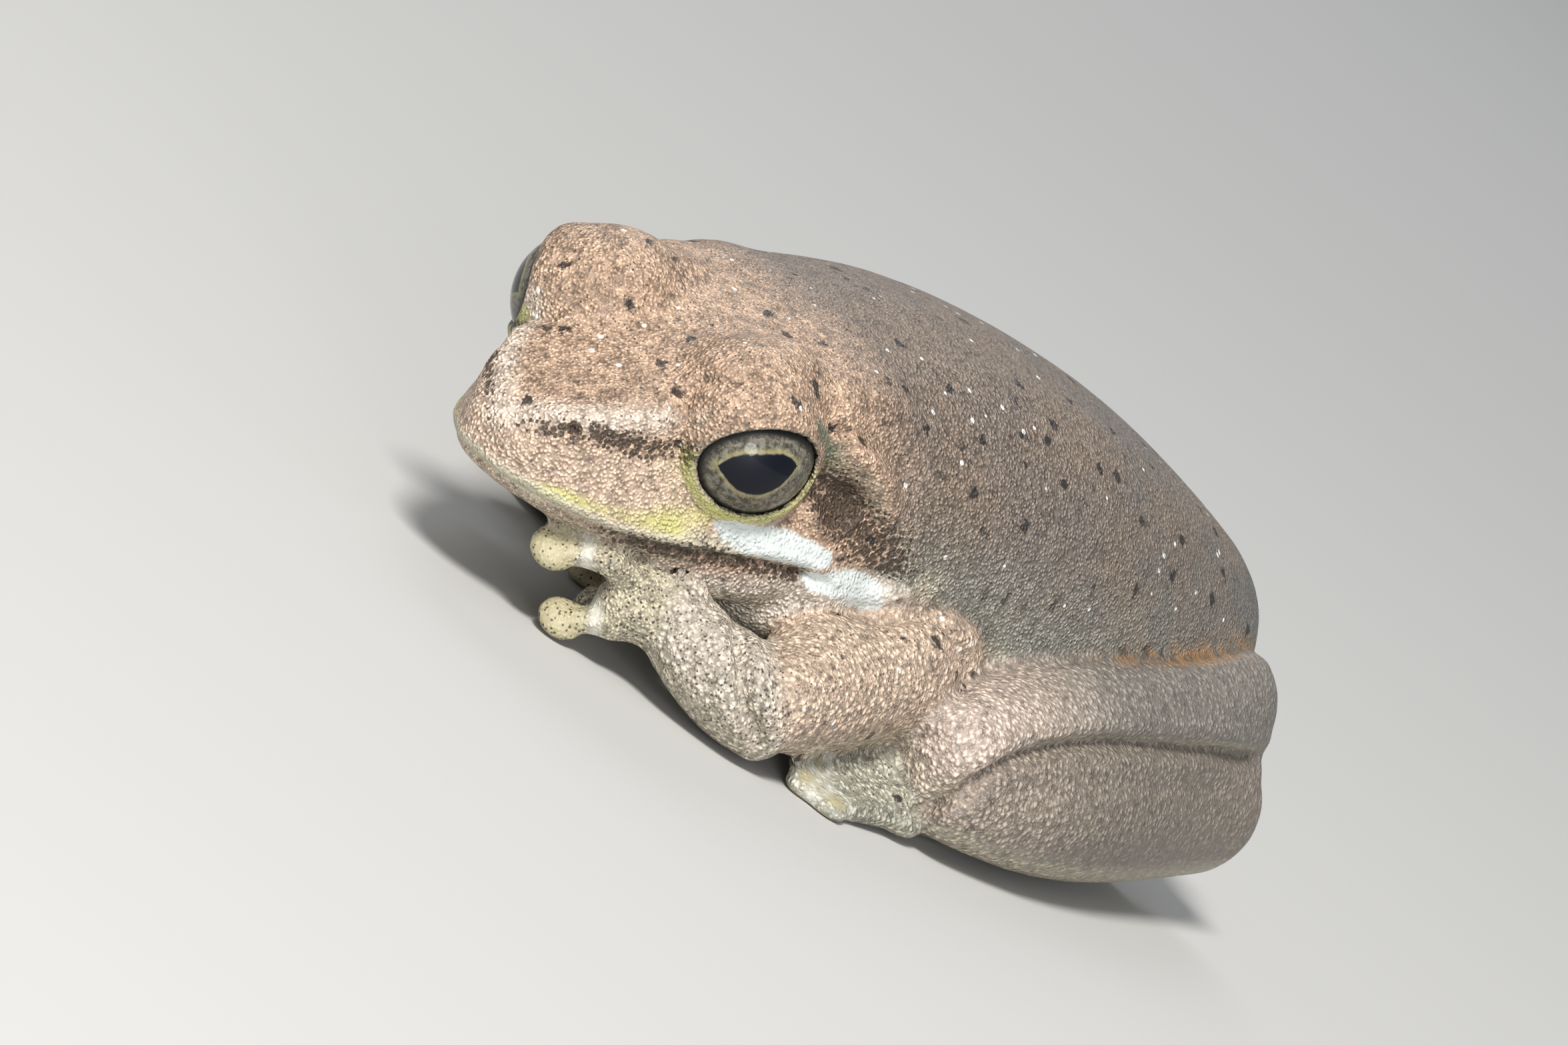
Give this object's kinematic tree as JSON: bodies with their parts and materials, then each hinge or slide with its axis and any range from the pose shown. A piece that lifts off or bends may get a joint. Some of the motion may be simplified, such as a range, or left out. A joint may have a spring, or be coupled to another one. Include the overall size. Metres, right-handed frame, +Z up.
{
  "type": "eastern dwarf tree frog",
  "caption": "Still, life-size model of a small tree frog crouched with folded legs, for a museum case or a diorama.",
  "frame": {"origin": "on the floor, at the middle of the base of the box round the whole frog", "axes": "the frog faces -X, its left side is towards -Y, and +Z is up from the floor"},
  "size_m": [0.0256, 0.0168, 0.009],
  "materials": {
    "back_skin": "fine granules, slightly moist",
    "limb_skin": "fine granules, slightly moist",
    "eye_surface": "polished"
  },
  "bodies": {
    "root": {"head": "back_skin", "torso": "back_skin", "upper_arm_left": "limb_skin", "upper_arm_right": "limb_skin", "forearm_left": "limb_skin", "forearm_right": "limb_skin", "hand_left": "limb_skin", "hand_right": "limb_skin", "thigh_left": "limb_skin", "thigh_right": "limb_skin", "shank_left": "limb_skin", "shank_right": "limb_skin", "foot_left": "limb_skin", "foot_right": "limb_skin", "eye_left": "eye_surface", "eye_right": "eye_surface"}
  },
  "joints": []
}
